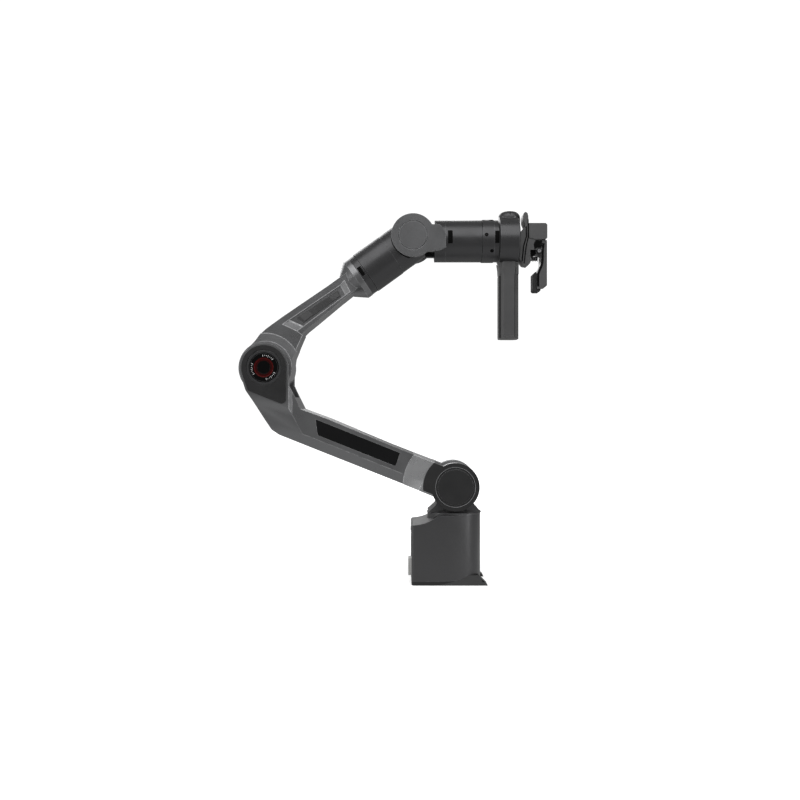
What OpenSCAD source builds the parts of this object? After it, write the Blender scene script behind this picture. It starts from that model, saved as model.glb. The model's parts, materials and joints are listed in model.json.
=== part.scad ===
// Desktop robot arm: six axes, with a teaching handle and trigger on the flange.
// +Z is up and +X is the way the handle points. The origin is on the first axis,
// on the underside of the base. Left is +Y and right is -Y.

/* [Base] */
// Height of the base
base_h = 87.5; // [80:0.5:100]
// Distance from the first axis to the flat rear of the base
base_rear = 55.5; // [50:0.5:65]
// Width of the base across its flat sides
base_w = 80; // [79:1:84]
// Radius of the rounded front of the base
base_front_r = 34; // [33:0.5:35]
// Spacing of the four mounting holes
bolt_pitch = 70; // [68:1:70]

/* [Upper arm] */
// Height of the shoulder axis above the underside of the base
shoulder_z = 123; // [120:1:130]
// Distance from the shoulder axis to the elbow axis
upper_len = 285; // [275:1:295]
// Depth of the beam, seen from the side
beam_depth = 40; // [38:0.5:42]
// Width of the beam
beam_w = 60; // [58:1:62]
// Radius of the round shoulder caps
shoulder_cap_r = 30.5; // [28:0.5:32]
// Radius of the round ends of the elbow fork
elbow_r = 31; // [30:0.5:32]

/* [Forearm] */
// Distance from the elbow axis to the wrist axis, along the roll axis
fore_len = 250.8; // [245:0.5:260]
// Offset of the roll axis from the elbow axis
fore_offset = 26.5; // [24:0.5:28]
// Radius of the roll housing
roll_r = 28.6; // [28:0.1:29]

/* [Wrist and handle] */
// Radius of the wrist housing
wrist_r = 27; // [26.5:0.1:27]
// Radius of the round wrist covers
wrist_disc_r = 27.6; // [27:0.1:28]
// Radius of the collar that carries the grip
collar_r = 31; // [30:0.5:32]
// Distance from the tool axis to the bottom of the grip
grip_reach = 127.5; // [120:0.5:140]

/* [Hidden] */

round_fn = 96;
small_fn = 48;
gap = 0.3;          // running clearance between bodies
overrun = 1;        // how far a cut passes its surface

// Colours
metal = "#5e6064";
bright_metal = "#8e9094";
dark = "#343436";
darker = "#242426";
glossy_black = "#121214";
steel = "#9a9ca0";
board_green = "#1f5a3a";
lens_red = "#5a1416";
light_plastic = "#c8c8c8";

// Rest angles, from +X towards +Z
upper_angle = 148;      // shoulder to elbow
beam_angle = 158.3;     // the straight beam itself
fore_angle = 35.7;      // the forearm's roll axis

// Base
floor_t = 5;
wall = 3;
base_side = base_w / 2;
base_corner_r = 4;
side_arc_x = -28;
side_arc_r = (side_arc_x * side_arc_x + base_side * base_side - base_front_r * base_front_r)
    / (2 * (base_side - base_front_r));
side_arc_end = -base_front_r * side_arc_x / (side_arc_r - base_front_r);
rear_top = 75.5;
scoop_r = 54;
panel_top = 68;
panel_screw_z = [11, 63];
foot_x = 40;
foot_h = 11;
foot_edge = 0.8;
turret_bore_r = 29;
bearing_z = 76;
bearing_h = base_h - 4 - bearing_z;
bearing_r = base_front_r - wall - 0.5;

// Turret
skirt_r = 35;
drum_r = 26;
drum_half_w = 24.2;
pedestal_half_w = 22;

// Upper arm, in the beam's own frame: u along the beam, v away from the base
half_depth = beam_depth / 2;
keel_v = -21.4;
top_dip = 1.6;
half_w = beam_w / 2;
fork_in = 24.5;
fork_out = 34;
skin = 2.5;
beam_tilt = 180 - beam_angle;
upright_step = [sin(beam_tilt), cos(beam_tilt)];
elbow_at = [upper_len * cos(beam_angle - upper_angle), upper_len * sin(beam_angle - upper_angle)];
bracket_r = 66.5;
wedge_r = 46.6;
cover_r = 41;
lower_corner = [243, -19];
outer_corner = [291.5, 15.6];
inner_corner = [243.2, 41.5];
seam_v = -9;
seam_turn = 205;
cheek_corner = [232.5, 14.5];
cover_v = 15.5;
keel_inset = 3;
facet_w = 4.5;
lens_r = 18.7;
ring_r = 22;

// Elbow axis and wrist axis in the arm's frame
elbow_pos = [upper_len * cos(upper_angle), 0, shoulder_z + upper_len * sin(upper_angle)];
wrist_pos = elbow_pos + [
    fore_len * cos(fore_angle) - fore_offset * sin(fore_angle), 0,
    fore_len * sin(fore_angle) + fore_offset * cos(fore_angle)
];

// Forearm, in its own frame: s along the roll axis, t away from it, from the elbow axis
hub_r = 34;
hub_half_w = 24.2;
shell_start_r = 44;
fore_half_w = 21;
flare_start = 145;
flare_r = 16;
collar_start = 160;
beam_end = 155;
collar_end = 166.8;
ring_end = 175;
roll_start = ring_end + 0.4;
roll_end = 215.4;
yoke_arc_r = wrist_disc_r + 0.8;
yoke_half_w = 19.7;
yoke_drum_r = 24;

// Hand, in its own frame: w along the tool axis, which runs a little below the wrist axis
tool_at = [2.04, 0, -2.84];
cheek_in = 20.2;
cheek_out = 27;
cover_out = 31;
fork_web = 26;
fork_end = 39.7;
flange_start = 86.9;
flange_end = 102;
flange_r = 27.8;
neck_end = 107.4;
collar_front = 134.5;
grip_back = 109.3;
grip_front = 134.2;
grip_half_w = 14;
neck_z = -44;
dome_w = 123;
dome_r = 14.4;
dome_top = 38;
dome_round = 8;
button_r = 6.2;
button_top = 38.4;

// Trigger
lever_pin = [160.5, -14.5];
pin_r = 2;
pin_head_r = 2.9;
ear_in = 11.3;
trigger_half_w = 11;
spring_w = 149;
spring_z = -22.8;
spring_r = 3.2;
wire_r = 0.45;
spring_turns = 6;
spring_len = 13.2;
spring_seat_w = spring_w + spring_len + 2 * wire_r + 0.1;

// Point where a line from a meets the circle about c, on one side or the other
function tangent_point(c, r, a, side) =
    let (
        d = norm(a - c),
        phi = atan2(a[1] - c[1], a[0] - c[0]),
        alpha = acos(r / d)
    )
    c + r * [cos(phi + side * alpha), sin(phi + side * alpha)];

// Frames of the moving parts at rest
module in_upper() translate([0, 0, shoulder_z]) rotate([0, beam_tilt, 0]) mirror([1, 0, 0]) children();
module in_fore() translate(elbow_pos) rotate([0, -fore_angle, 0]) children();
module in_wrist() translate(wrist_pos) children();
module in_tool() translate(wrist_pos + tool_at) children();
module on_left() children();
module on_right() mirror([0, 1, 0]) children();

// A plane outline in X and Z, given a thickness from y0 to y1
module slab(y0, y1) translate([0, y1, 0]) rotate([90, 0, 0]) linear_extrude(y1 - y0) children();

// A plane outline in Y and Z, given a length from x0 to x1
module bar(x0, x1) translate([x0, 0, 0]) rotate([90, 0, 90]) linear_extrude(x1 - x0) children();

// Round pieces about an axis along Y and along X
module disc_y(r, y0, y1, at = [0, 0]) translate([at[0], y0, at[1]]) rotate([-90, 0, 0])
    cylinder(r = r, h = y1 - y0, $fn = round_fn);
module disc_x(r, x0, x1, at = [0, 0]) translate([x0, at[0], at[1]]) rotate([0, 90, 0])
    cylinder(r = r, h = x1 - x0, $fn = round_fn);
module cone_x(r0, r1, x0, x1, at = [0, 0]) translate([x0, at[0], at[1]]) rotate([0, 90, 0])
    cylinder(r1 = r0, r2 = r1, h = x1 - x0, $fn = round_fn);
module cone_y(r0, r1, y0, y1, at = [0, 0]) translate([at[0], y0, at[1]]) rotate([-90, 0, 0])
    cylinder(r1 = r0, r2 = r1, h = y1 - y0, $fn = round_fn);
module box(low, high) translate(low) cube(high - low);

// ---- Base ----

// Plan of the base: a flat-sided rear that runs through two wide arcs into a round front
module base_plan(inset = 0) {
    rear = -base_rear + inset;
    side = base_side - inset;
    corner = max(base_corner_r - inset, 0.5);
    circle(r = base_front_r - inset, $fn = round_fn);
    intersection() {
        inside_side_arcs(inset);
        translate([side_arc_x - 0.5, -side]) square([side_arc_end - side_arc_x + 0.5, 2 * side]);
    }
    translate([rear + corner, -side]) square([side_arc_x - rear - corner, 2 * side]);
    translate([rear, -side + corner]) square([side_arc_x - rear, 2 * (side - corner)]);
    for (y = [-1, 1]) translate([rear + corner, y * (side - corner)]) circle(r = corner, $fn = small_fn);
}

// What lies inside both side arcs
module inside_side_arcs(inset) intersection() {
    translate([side_arc_x, side_arc_r - base_side]) circle(r = side_arc_r - inset, $fn = 2 * round_fn);
    translate([side_arc_x, base_side - side_arc_r]) circle(r = side_arc_r - inset, $fn = 2 * round_fn);
}

module bolt_places() for (x = [-0.5, 0.5], y = [-0.5, 0.5])
    translate([x * bolt_pitch, y * bolt_pitch, 0]) children();

module base_housing() color(dark) difference() {
    translate([0, 0, floor_t]) linear_extrude(base_h - floor_t) base_plan();
    translate([0, 0, floor_t - overrun]) linear_extrude(rear_top - 4 - floor_t + overrun) base_plan(wall);
    translate([0, 0, 40]) cylinder(r = bearing_r + 0.05, h = base_h - 4 - 40, $fn = round_fn);
    translate([0, 0, base_h - 5]) cylinder(r = turret_bore_r, h = 5 + overrun, $fn = round_fn);
    box([-base_rear - overrun, -30, 6], [-base_rear + wall + overrun, 30, panel_top]);
    // Hollow curve that drops from the turret's seat to the lower rear
    difference() {
        disc_y(scoop_r, -base_w, base_w, [-base_rear, rear_top + scoop_r]);
        cylinder(r = base_front_r + 0.6, h = 2 * base_h, $fn = round_fn);
    }
    translate([-base_rear, 0, rear_top]) rotate([0, 45, 0]) cube([2.4, base_w + 2, 2.4], center = true);
}

module base_plate() color(dark) difference() {
    union() {
        linear_extrude(floor_t) base_plan();
        for (side = [0, 1]) mirror([0, side, 0]) front_foot();
    }
    bolt_places() translate([0, 0, -overrun]) cylinder(d = 4.2, h = foot_h + 2, $fn = small_fn);
}

// Foot that squares off a front corner and slopes up to the round front
module front_foot() difference() {
    intersection() {
        slab(0, base_side) polygon([
            [-20, 0], [foot_x, 0], [foot_x, foot_edge], [foot_x - foot_h + foot_edge, foot_h], [-20, foot_h]
        ]);
        bar(-20, foot_x) polygon([
            [18, 0], [base_side, 0], [base_side, foot_edge], [base_side - foot_h + foot_edge, foot_h],
            [18, foot_h]
        ]);
    }
    translate([0, 0, floor_t]) linear_extrude(foot_h) base_plan();
}

module rear_panel() color(darker) difference() {
    box([-base_rear + 0.6, -29.8, 6.2], [-base_rear + wall, 29.8, panel_top - 0.2]);
    box([-base_rear - overrun, -20, 9], [-base_rear + wall + overrun, -4, 31]);
    translate([-base_rear, 14, 20]) rotate([0, 90, 0]) cylinder(r = 8, h = 8, center = true, $fn = small_fn);
    for (y = [-26, 26], z = panel_screw_z) translate([-base_rear, y, z]) rotate([0, 90, 0])
        cylinder(r = 1.6, h = 10, center = true, $fn = small_fn);
}

// Power inlet: a rectangular socket that stands proud of the rear
module power_socket() color(light_plastic) difference() {
    box([-base_rear - 4, -19.8, 9.2], [-base_rear + 10, -4.2, 30.8]);
    for (z = [15, 25]) translate([-base_rear - 4, -12, z]) rotate([0, 90, 0])
        cylinder(r = 3.6, h = 16, center = true, $fn = small_fn);
}

// Data socket: a round metal connector
module data_socket() color(steel) difference() {
    disc_x(7.8, -base_rear - 3.6, -base_rear + 10, [14, 20]);
    disc_x(5.6, -base_rear - 4.6, -base_rear + 6, [14, 20]);
}

module base_screws() color(steel) for (y = [-26, 26], z = panel_screw_z) {
    disc_x(1.4, -base_rear + 0.7, -base_rear + 6, [y, z]);
    disc_x(2.8, -base_rear - 0.6, -base_rear + 0.6, [y, z]);
}

module base_motor() color(steel) difference() {
    translate([0, 0, floor_t]) cylinder(r = 26, h = 62 - floor_t, $fn = round_fn);
    translate([0, 0, 20]) cylinder(r = 8, h = 62, $fn = round_fn);
}

module base_bearing() color(steel) difference() {
    translate([0, 0, bearing_z]) cylinder(r = bearing_r, h = bearing_h, $fn = round_fn);
    translate([0, 0, bearing_z - overrun]) cylinder(r = 24.05, h = 20, $fn = round_fn);
}

module controller_board() color(board_green) box([-43, -30, 8], [-41.4, 30, 66]);

// ---- Turret ----

module turret_skirt() color(dark) difference() {
    union() {
        rim_z = base_h + gap + 1.4;
        pedestal_z = base_h + 2.6;
        translate([0, 0, base_h + gap]) cylinder(r = skirt_r, h = 1.4, $fn = round_fn);
        translate([0, 0, rim_z]) cylinder(r1 = skirt_r, r2 = skirt_r - 1.2, h = 1.2, $fn = round_fn);
        slab(-pedestal_half_w, pedestal_half_w) polygon([
            [-34, pedestal_z], [-24.5, 98.5], [-22, 104], [22, 104], [25.5, 98.5], [31.5, 92],
            [33, pedestal_z]
        ]);
    }
    disc_y(drum_r + 0.1, -overrun - skirt_r, skirt_r + overrun, [0, shoulder_z]);
    // Slots for cooling, front and rear
    for (x = [-13, 13], y = [-pedestal_half_w, pedestal_half_w])
        box([x - 2.5, y - 1.5, 91], [x + 2.5, y + 1.5, 96]);
}

module turret_hub() color(steel) difference() {
    translate([0, 0, 62.6]) cylinder(r = 24, h = base_h + gap - 62.6, $fn = round_fn);
    translate([0, 0, 60]) cylinder(r = 8, h = 40, $fn = round_fn);
}

module shoulder_drum() color(darker) difference() {
    disc_y(drum_r, -drum_half_w, drum_half_w, [0, shoulder_z]);
    disc_y(drum_r - 2.5, -drum_half_w + 4, drum_half_w + overrun, [0, shoulder_z]);
}

module shoulder_motor() color(steel) difference() {
    disc_y(drum_r - 2.6, -drum_half_w + 4, drum_half_w, [0, shoulder_z]);
    disc_y(6, -drum_half_w, drum_half_w + overrun, [0, shoulder_z]);
}

// ---- Upper arm ----

// Side view of the whole upper arm: beam, elbow round and the two lines that touch it
module upper_outline() {
    outer = tangent_point(elbow_at, elbow_r, outer_corner, 1);
    inner = tangent_point(elbow_at, elbow_r, inner_corner, -1);
    polygon([
        [0, keel_v], [232, keel_v], lower_corner, outer_corner, outer, elbow_at, inner,
        inner_corner, [218, half_depth - 1], [180, half_depth], [95, half_depth - top_dip],
        [0, half_depth - 1]
    ]);
    translate(elbow_at) circle(r = elbow_r, $fn = round_fn);
    circle(r = shoulder_cap_r, $fn = round_fn);
}

// Section of the beam: upright sides, drawn in below the lengthwise seam
module beam_section(side = half_w) polygon([
    [-side + keel_inset, keel_v], [-side, seam_v], [-side, 120],
    [side, 120], [side, seam_v], [side - keel_inset, keel_v]
]);

// Section of the elbow fork: its cheeks stand out above a slanted band
module fork_section() polygon([
    [-half_w, 5], [-fork_out, cover_v], [-fork_out, 120], [fork_out, 120], [fork_out, cover_v], [half_w, 5]
]);

// Side view of the upper shell, above the lengthwise seam and short of the cheeks
module shell_region(grow = 0) polygon([
    [40, seam_v - grow], [seam_turn, seam_v - grow], cheek_corner + [grow, -grow],
    cheek_corner + upright_step * 45 + [grow, 0], [225, 70], [40, 70]
]);

// The shoulder end flares to the joint's width in a cone about the shoulder axis
module shoulder_bracket() color(bright_metal) in_upper() difference() {
    intersection() {
        slab(-fork_out - 1, fork_out + 1) upper_outline();
        union() {
            disc_y(bracket_r, -half_w, half_w);
            cone_y(wedge_r, bracket_r, -fork_out, -half_w);
            cone_y(bracket_r, wedge_r, half_w, fork_out);
        }
    }
    // Keel, drawn in below the seam
    difference() {
        box([cover_r + 0.2, -fork_out - 2, -half_depth - 5], [bracket_r + 5, fork_out + 2, seam_v]);
        bar(0, 100) beam_section(fork_out);
    }
    box([-60, -drum_half_w - gap, -60], [34, drum_half_w + gap, 60]);
    box([33, -18, -13], [80, 18, 13]);
    for (side = [0, 1]) mirror([0, side, 0]) disc_y(12, 20, 40);
}

module upper_arm_frame() color(metal) in_upper() difference() {
    intersection() {
        slab(-fork_out - 1, fork_out + 1) upper_outline();
        union() {
            bar(40, 350) beam_section();
            bar(200, 350) fork_section();
        }
    }
    slab(-60, 60) shell_region(0.1);
    disc_y(bracket_r + 0.1, -60, 60);
    inside_w = half_w - keel_inset - skin;
    box([bracket_r + 4, -inside_w, -half_depth + skin], [212, inside_w, 0]);
    disc_y(54, -fork_in, fork_in, elbow_at);
    disc_y(12, -60, 60, elbow_at);
}

module upper_arm_shell() color(metal) in_upper() difference() {
    intersection() {
        slab(-fork_out - 1, fork_out + 1) upper_outline();
        slab(-60, 60) shell_region();
        union() {
            bar(40, 350) beam_section();
            cheek_facet();
        }
    }
    disc_y(bracket_r + 0.1, -60, 60);
    box([bracket_r + 4, -half_w + skin, -20], [196, half_w - skin, half_depth - top_dip - skin]);
    disc_y(54, -fork_in, fork_in, elbow_at);
    for (side = [0, 1]) mirror([0, side, 0]) slab(half_w - 1, half_w + 1) panel_outline();
}

// Narrow slanted facet that carries the shell's side out to the cheek
module cheek_facet() translate([cheek_corner[0], 0, cheek_corner[1]]) rotate([0, beam_tilt, 0])
    translate([0, 0, -12]) linear_extrude(60) polygon([
        [1, -fork_out], [1, fork_out], [0, fork_out], [-facet_w, half_w - 0.2],
        [-facet_w, -half_w + 0.2], [0, -fork_out]
    ]);

// Outline of the dark side panel, slanted at its elbow end
module panel_outline(inset = 0) polygon([
    [80 + inset, -3.6 + inset], [186 - inset, -3.6 + inset],
    [196 - inset * 2, 14 - inset], [81 + inset, 14 - inset]
]);

module side_panel(y0, y1) color(glossy_black) in_upper() slab(y0, y1) panel_outline(0.15);
module side_panel_left() side_panel(half_w - 1, half_w - 0.2);
module side_panel_right() side_panel(-half_w + 0.2, -half_w + 1);

// Dark cover over one shoulder joint
module shoulder_cover() color(dark) in_upper() difference() {
    slab(fork_out, fork_out + 2) intersection() {
        union() {
            circle(r = shoulder_cap_r, $fn = round_fn);
            translate([0, -half_depth + 1]) square([cover_r, beam_depth - 2]);
        }
        circle(r = cover_r, $fn = round_fn);
    }
    disc_y(25, fork_out - overrun, fork_out + 3);
}
module shoulder_cover_left() on_left() shoulder_cover();
module shoulder_cover_right() on_right() shoulder_cover();

module shoulder_cap() color(darker) in_upper() {
    disc_y(24.8, fork_out, fork_out + 1.4);
    disc_y(22.3, fork_out + 1.4, fork_out + 2.4);
    disc_y(11.8, fork_out - 9, fork_out);
}
module shoulder_cap_left() on_left() shoulder_cap();
module shoulder_cap_right() on_right() shoulder_cap();

// Dark teardrop cover over one side of the elbow
module elbow_cover() color(darker) in_upper() difference() {
    slab(fork_out, fork_out + 2.5) hull() {
        translate(elbow_at) circle(r = elbow_r - 2.6, $fn = round_fn);
        translate([287.3, cover_v + 3.5]) circle(r = 2.5, $fn = small_fn);
        translate([244.5, cover_v + 6]) circle(r = 5, $fn = small_fn);
    }
    disc_y(ring_r + 0.2, fork_out - overrun, fork_out + 4, elbow_at);
}
module elbow_cover_left() on_left() elbow_cover();
module elbow_cover_right() on_right() elbow_cover();

// Ring round the elbow dial
module elbow_ring() color(metal) in_upper() difference() {
    disc_y(ring_r, fork_out, fork_out + 2, elbow_at);
    disc_y(lens_r + 0.1, fork_out - overrun, fork_out + 4, elbow_at);
}
module elbow_ring_left() on_left() elbow_ring();
module elbow_ring_right() on_right() elbow_ring();

// Round window, stepped down towards its middle
module elbow_lens() color(lens_red) in_upper() difference() {
    disc_y(lens_r, fork_out, fork_out + 2.6, elbow_at);
    disc_y(12, fork_out + 1.8, fork_out + 4, elbow_at);
    disc_y(8, fork_out + 1.2, fork_out + 4, elbow_at);
}
module elbow_lens_left() on_left() elbow_lens();
module elbow_lens_right() on_right() elbow_lens();

module elbow_shaft() color(steel) in_upper() difference() {
    disc_y(11.9, -fork_out, fork_out, elbow_at);
    disc_y(8, -60, 60, elbow_at);
}

module driver_board() color(board_green) in_upper() box([90, -20, -4], [190, 20, -2.4]);

// ---- Forearm ----

// Side view of the forearm's beam and of the root that joins it to the hub
module fore_outline() polygon([
    [0, hub_r], [10, 36], [19, 38.9], [30, 40.2], [56, 40.3], [126, 38.5], [beam_end, 38.5],
    [beam_end, 14], [126, 12.6], [90, 10], [70, 8.8], [64.5, 8], [57.5, 3.3], [49.7, -1.4], [43, -5.8],
    [35.4, -10.6], [29, -17.4], [0, 0]
]);

module elbow_hub() color(darker) in_fore() difference() {
    union() {
        disc_y(hub_r, -hub_half_w, hub_half_w);
        slab(-fore_half_w - 1, fore_half_w + 1) intersection() {
            fore_outline();
            circle(r = shell_start_r, $fn = round_fn);
        }
    }
    disc_y(25, -hub_half_w + 3, hub_half_w + overrun);
    disc_y(12.2, -hub_half_w - overrun, hub_half_w + overrun);
}

module elbow_motor() color(steel) in_fore() difference() {
    disc_y(24.8, -hub_half_w + 3, hub_half_w);
    disc_y(12.2, -hub_half_w, hub_half_w + overrun);
}

// Recess for the inlay along each side of the forearm
module channel_outline() polygon([
    [50, 32.6], [140, 30.1], [147, 32.3], [144.5, 16.1], [60, 14.7]
]);

module forearm_shell() color(metal) in_fore() difference() {
    union() {
        slab(-fore_half_w, fore_half_w) difference() {
            fore_outline();
            circle(r = shell_start_r + 0.1, $fn = round_fn);
        }
        cone_x(flare_r, roll_r - 0.3, flare_start, collar_start, [0, fore_offset]);
        disc_x(roll_r - 0.3, collar_start, collar_end, [0, fore_offset]);
    }
    box([64, -15, 16], [134, 15, 35]);
    disc_x(19, 157, collar_end + overrun, [0, fore_offset]);
    disc_x(8, 130, 160, [0, fore_offset]);
    for (side = [0, 1]) mirror([0, side, 0]) slab(fore_half_w - 1.5, fore_half_w + 1) channel_outline();
}

module forearm_panel(y0, y1) color(dark) in_fore() slab(y0, y1) polygon([
    [70, 28.7], [132.5, 26.3], [131.5, 18.6], [73, 18.8]
]);
module forearm_panel_left() forearm_panel(fore_half_w - 1.5, fore_half_w - 0.4);
module forearm_panel_right() forearm_panel(-fore_half_w + 0.4, -fore_half_w + 1.5);

module forearm_ring() color(dark) in_fore() difference() {
    disc_x(roll_r - 0.8, collar_end, ring_end, [0, fore_offset]);
    disc_x(19, collar_end - overrun, ring_end + overrun, [0, fore_offset]);
    box([collar_end + 1.5, -roll_r - 2, fore_offset - 5], [ring_end - 1, -roll_r + 3, fore_offset + 8]);
}

module roll_bearing() color(steel) in_fore() difference() {
    disc_x(18.9, 157, ring_end, [0, fore_offset]);
    disc_x(14.05, 150, ring_end + overrun, [0, fore_offset]);
}

// ---- Wrist roll ----

module roll_housing() color(dark) in_fore() difference() {
    disc_x(roll_r, roll_start, roll_end, [0, fore_offset]);
    disc_x(roll_r - 3, roll_start + 3, roll_end + overrun, [0, fore_offset]);
    disc_x(14, roll_start - overrun, roll_end, [0, fore_offset]);
}

module roll_motor() color(steel) in_fore() {
    disc_x(roll_r - 3.2, roll_start + 3, roll_end - 2, [0, fore_offset]);
    disc_x(13.8, 158, roll_start + 3, [0, fore_offset]);
}

module wrist_yoke() color(dark) in_fore() difference() {
    union() {
        difference() {
            disc_x(roll_r - 0.5, roll_end, fore_len, [0, fore_offset]);
            for (side = [0, 1]) mirror([0, side, 0]) {
                disc_y(yoke_arc_r, yoke_half_w, 60, [fore_len, fore_offset]);
                box([fore_len - 21, yoke_half_w, fore_offset - 60], [fore_len + 60, 60, fore_offset + 60]);
            }
            disc_y(60, -60, 60, [fore_len + 56, fore_offset]);
        }
        disc_y(yoke_drum_r, -yoke_half_w, yoke_half_w, [fore_len, fore_offset]);
    }
    disc_y(yoke_drum_r - 4, -yoke_half_w + 3, yoke_half_w + overrun, [fore_len, fore_offset]);
    disc_y(6.2, -yoke_half_w - overrun, yoke_half_w, [fore_len, fore_offset]);
}

module wrist_motor() color(steel) in_fore() {
    disc_y(yoke_drum_r - 4.2, -yoke_half_w + 3, yoke_half_w, [fore_len, fore_offset]);
}

// ---- Wrist ----

// Side view of a wrist cheek: a disc with a tongue that reaches the housing
module cheek_outline(r) {
    circle(r = r, $fn = round_fn);
    translate([tool_at[0], tool_at[2]]) polygon([
        [0, -17], [31.7, -17], [fork_end, -13], [fork_end, 6], [36.7, 11], [31.7, 16.4], [0, 16.4]
    ]);
}

module wrist_fork() color(dark) {
    in_tool() difference() {
        disc_x(wrist_r, fork_web, fork_end);
        disc_x(wrist_r - 9, fork_web - overrun, fork_end + overrun);
    }
    for (side = [0, 1]) in_wrist() mirror([0, side, 0]) slab(cheek_in, cheek_out) difference() {
        cheek_outline(wrist_disc_r - 0.6);
        translate([fork_web + tool_at[0], -50]) square([50, 100]);
    }
}

module wrist_cover() color(metal) in_wrist() difference() {
    slab(cheek_out, cover_out) cheek_outline(wrist_disc_r);
    difference() {
        disc_y(18.6, cover_out - 0.8, cover_out + 1);
        disc_y(17.9, cover_out - 2, cover_out + 2);
    }
}
module wrist_cover_left() on_left() wrist_cover();
module wrist_cover_right() on_right() wrist_cover();

module wrist_housing() color(dark) in_tool() difference() {
    disc_x(wrist_r, fork_end, flange_start - 0.4);
    disc_x(wrist_r - 3, fork_end - overrun, flange_start - 4);
    disc_x(12, fork_end, flange_start + overrun);
    for (side = [0, 1]) mirror([0, side, 0]) box([44.5, wrist_r - 1.5, -6], [48.5, wrist_r + 2, 9.4]);
}

module tool_motor() color(steel) in_tool() difference() {
    disc_x(wrist_r - 3.2, fork_end, flange_start - 4);
    disc_x(6, fork_end - overrun, flange_start);
}

// ---- Tool flange and teaching handle ----

// Radial screws: distance along the flange, and angle from straight up to either side
flange_screw_places = [[4.5, 82], [11.8, 23], [11.8, 125]];
module flange_screw_seats() for (p = flange_screw_places, side = [-1, 1])
    rotate([side * p[1], 0, 0]) translate([flange_start + p[0], 0, flange_r - 3]) children();

module tool_flange() color(dark) in_tool() difference() {
    union() {
        disc_x(flange_r, flange_start, flange_end);
        disc_x(11.9, flange_start - 3, flange_start);
    }
    flange_screw_seats() cylinder(r = 1.8, h = 5, $fn = small_fn);
}

module flange_screws() color(steel) in_tool() flange_screw_seats() cylinder(r = 1.6, h = 2, $fn = small_fn);

module handle_collar() color(dark) in_tool() difference() {
    union() {
        disc_x(flange_r - 0.8, flange_end, neck_end);
        cone_x(flange_r - 0.8, collar_r, neck_end, neck_end + 1.8);
        disc_x(collar_r, neck_end + 1.8, collar_front - 1.5);
        cone_x(collar_r, collar_r - 1.5, collar_front - 1.5, collar_front);
        // Neck that the grip halves close round
        box([grip_back + 6, -8, -50], [grip_front - 6, 8, -20]);
        // Dome that holds the push button
        translate([dome_w, 0, 0]) rotate_extrude($fn = round_fn) {
            translate([0, 24]) square([dome_r, dome_top - dome_round - 24]);
            translate([0, 24]) square([dome_r - dome_round, dome_top - 24]);
            intersection() {
                translate([dome_r - dome_round, dome_top - dome_round])
                    circle(r = dome_round, $fn = small_fn);
                square([dome_r, dome_top]);
            }
        }
    }
    disc_x(20, flange_end + 6, collar_front - 6);
    translate([dome_w, 0, 30]) cylinder(r = button_r + 0.2, h = 20, $fn = round_fn);
}

// Plan of the grip: bevelled corners front and back
module grip_plan() {
    bevel = 5;
    polygon([
        [grip_back, -grip_half_w + bevel], [grip_back + bevel, -grip_half_w],
        [grip_front - bevel, -grip_half_w], [grip_front, -grip_half_w + bevel],
        [grip_front, grip_half_w - bevel], [grip_front - bevel, grip_half_w],
        [grip_back + bevel, grip_half_w], [grip_back, grip_half_w - bevel]
    ]);
}

module grip_half(side) color(darker) in_tool() difference() {
    intersection() {
        union() {
            translate([0, 0, -grip_reach + 4]) linear_extrude(grip_reach - 24) grip_plan();
            slab(-grip_half_w + 2, grip_half_w - 2) polygon([
                [grip_back, neck_z], [grip_back - 0.4, neck_z + 7], [grip_back - 1.6, neck_z + 15],
                [grip_back - 1.6, -20], [grip_front, -20], [grip_front, neck_z]
            ]);
        }
        translate([0, side > 0 ? 0.05 : -40.05, -200]) cube([300, 40, 220]);
    }
    disc_x(collar_r + 0.1, 100, 150);
    box([grip_back + 5.9, -8.1, -50.1], [grip_front - 5.9, 8.1, 20]);
    box([grip_back + 4, -grip_half_w + 4, -grip_reach], [grip_front - 4, grip_half_w - 4, -56]);
}
module grip_left() grip_half(1);
module grip_right() grip_half(-1);

module grip_cap() color(dark) in_tool() {
    translate([0, 0, -grip_reach]) linear_extrude(4) grip_plan();
    plug_w = grip_half_w - 4.2;
    box([grip_back + 4.2, -plug_w, -grip_reach + 4], [grip_front - 4.2, plug_w, -grip_reach + 10]);
}

module trigger_housing() color(dark) in_tool() {
    difference() {
        slab(-13, 13) polygon([
            [collar_front, 8], [collar_front, -24], [140.5, -31.5], [146, -32.5], [spring_w, -30],
            [spring_w, -13], [163.6, -13], [163.6, 0.4], [155, 0.4], [147, 2.4], [147, 20], [146.4, 31],
            [145.4, 34.4], [143, 36], [140.8, 34.6], [139.8, 31.4], [140.5, 24], [143, 18]
        ]);
        box([spring_w, -ear_in, -40], [170, ear_in, -2]);
        box([136, -9, -20], [145, 9, 8]);
        disc_y(pin_r, -20, 20, lever_pin);
    }
    // Ears that hold the hinge pin
    for (side = [0, 1]) mirror([0, side, 0]) difference() {
        slab(ear_in, 13) {
            translate(lever_pin) circle(r = 3.6, $fn = small_fn);
            translate([lever_pin[0] - 3.6, lever_pin[1]]) square([7.2, 6]);
        }
        disc_y(pin_r, 0, 20, lever_pin);
    }
}

module trigger_block() color(darker) in_tool() difference() {
    slab(-14, 14) polygon([
        [147.1, 2.5], [155.1, 0.5], [168.8, 0.5], [170.8, 2.5], [170.8, 19.5], [168.8, 21.5], [147.1, 21.5]
    ]);
    box([150, -10, 5], [167, 10, 18]);
}

module encoder_board() color(board_green) in_tool() box([137, -8, -18], [138.6, 8, 6]);

module trigger_pin() color(steel) in_tool() {
    disc_y(pin_r, -13, 13, lever_pin);
    for (side = [0, 1]) mirror([0, side, 0]) disc_y(pin_head_r, 13, 14, lever_pin);
}

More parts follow.
